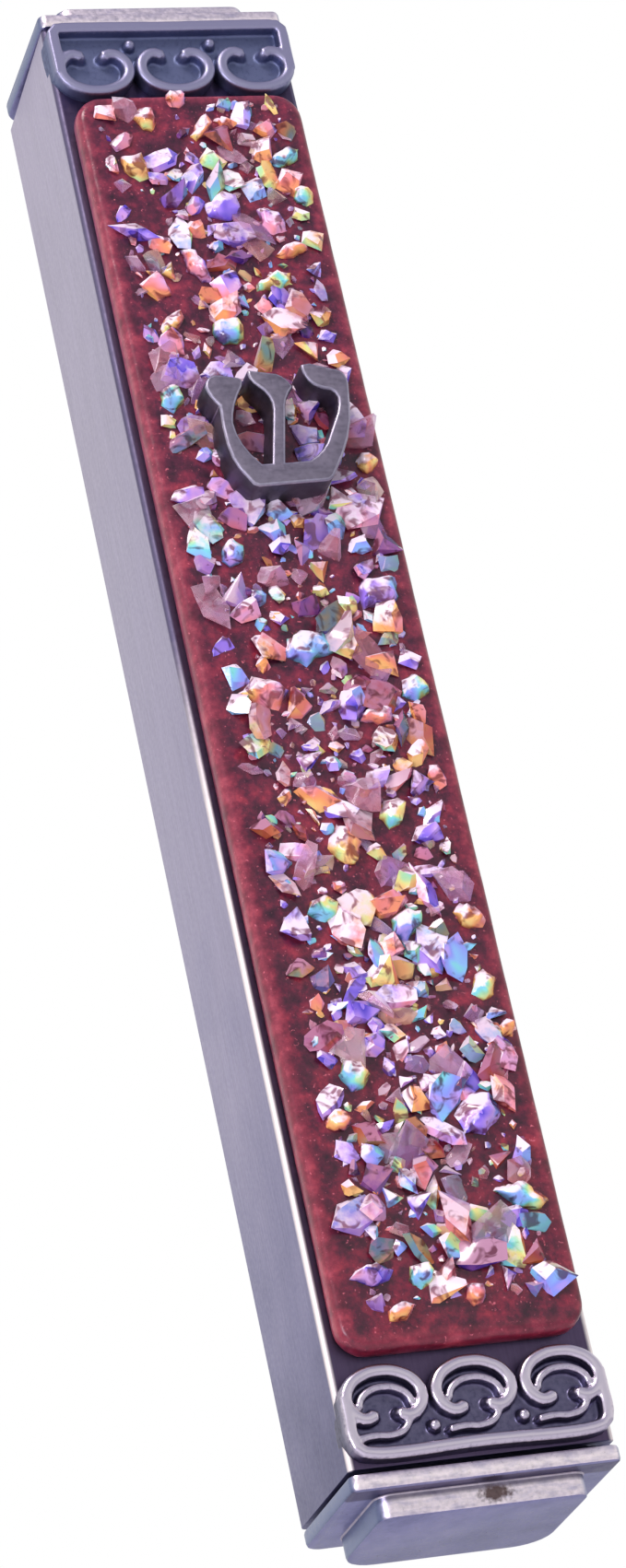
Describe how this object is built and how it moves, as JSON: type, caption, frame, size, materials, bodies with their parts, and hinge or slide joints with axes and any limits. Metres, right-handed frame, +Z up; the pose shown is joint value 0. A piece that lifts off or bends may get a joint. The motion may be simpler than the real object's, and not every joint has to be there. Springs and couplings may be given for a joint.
{
  "type": "mezuzah case",
  "caption": "Slim rectangular wall-hung scroll case with stepped end caps, cast scroll ornaments, a raised letter and a resin face set with iridescent flakes.",
  "frame": {"origin": "centre of the mounting tape's outer face, half way up the case", "axes": "+Z up along the case's length, +Y out of the back into the wall, so the decorated front faces -Y, and +X to the right as seen from the front"},
  "size_m": [0.02, 0.0193, 0.1252],
  "materials": {
    "shell_metal": "satin antique gunmetal plating, drawn along the length",
    "cap_metal": "satin gunmetal plating, rubbed bright on the edges",
    "ornament_metal": "antiqued casting, dark in the recesses and rubbed on the ridges",
    "letter_metal": "matt dark gunmetal with thin bright edges",
    "burgundy_resin": "cast tinted resin, satin",
    "plug_plastic": "moulded black plastic",
    "parchment": "scraped parchment",
    "clear_film": "clear film",
    "foam_tape": "white closed-cell foam with an adhesive face",
    "opal_amber": "iridescent opal flake",
    "opal_aqua": "iridescent opal flake",
    "opal_coral": "iridescent opal flake",
    "opal_cream": "iridescent opal flake",
    "opal_gold": "iridescent opal flake",
    "opal_lilac": "iridescent opal flake",
    "opal_lime": "iridescent opal flake",
    "opal_mint": "iridescent opal flake",
    "opal_pearl": "iridescent opal flake",
    "opal_pink": "iridescent opal flake",
    "opal_salmon": "iridescent opal flake",
    "opal_sky": "iridescent opal flake",
    "opal_teal": "iridescent opal flake",
    "opal_ultramarine": "iridescent opal flake",
    "opal_violet": "iridescent opal flake"
  },
  "bodies": {
    "case": {"shell": "shell_metal", "top_cap": "cap_metal", "top_plug": "plug_plastic", "upper_ornament": "ornament_metal", "lower_ornament": "ornament_metal", "resin_inlay": "burgundy_resin", "shin_letter": "letter_metal", "mounting_tape": "foam_tape", "flake_01_salmon": "opal_salmon", "flake_02_gold": "opal_gold", "flake_03_amber": "opal_amber", "flake_04_cream": "opal_cream", "flake_05_aqua": "opal_aqua", "flake_06_lime": "opal_lime", "flake_07_violet": "opal_violet", "flake_08_pearl": "opal_pearl", "flake_09_coral": "opal_coral", "flake_10_pearl": "opal_pearl", "flake_11_lime": "opal_lime", "flake_12_gold": "opal_gold", "flake_13_mint": "opal_mint", "flake_14_sky": "opal_sky", "flake_15_gold": "opal_gold", "flake_16_sky": "opal_sky", "flake_17_lilac": "opal_lilac", "flake_18_sky": "opal_sky", "flake_19_salmon": "opal_salmon", "flake_20_aqua": "opal_aqua", "flake_21_pink": "opal_pink", "flake_22_lime": "opal_lime", "flake_23_amber": "opal_amber", "flake_24_mint": "opal_mint", "flake_25_gold": "opal_gold", "flake_26_sky": "opal_sky", "flake_27_lime": "opal_lime", "flake_28_gold": "opal_gold", "flake_29_teal": "opal_teal", "flake_30_amber": "opal_amber", "flake_31_violet": "opal_violet", "flake_32_mint": "opal_mint", "flake_33_ultramarine": "opal_ultramarine", "flake_34_aqua": "opal_aqua", "flake_35_amber": "opal_amber", "flake_36_coral": "opal_coral"},
    "lower_cap": {"bottom_cap": "cap_metal", "bottom_plug": "plug_plastic"},
    "scroll": {"parchment": "parchment", "scroll_wrap": "clear_film"}
  },
  "joints": [
    {"name": "cap_pull", "type": "slide", "parent": "case", "child": "lower_cap", "axis": [0, 0, -1], "range_m": [0, 0.04]},
    {"name": "scroll_drop", "type": "slide", "parent": "case", "child": "scroll", "axis": [0, 0, -1], "range_m": [0, 0.04]}
  ],
  "couplings": [
    {"joint": "scroll_drop", "follows": "cap_pull", "ratio": 1}
  ]
}
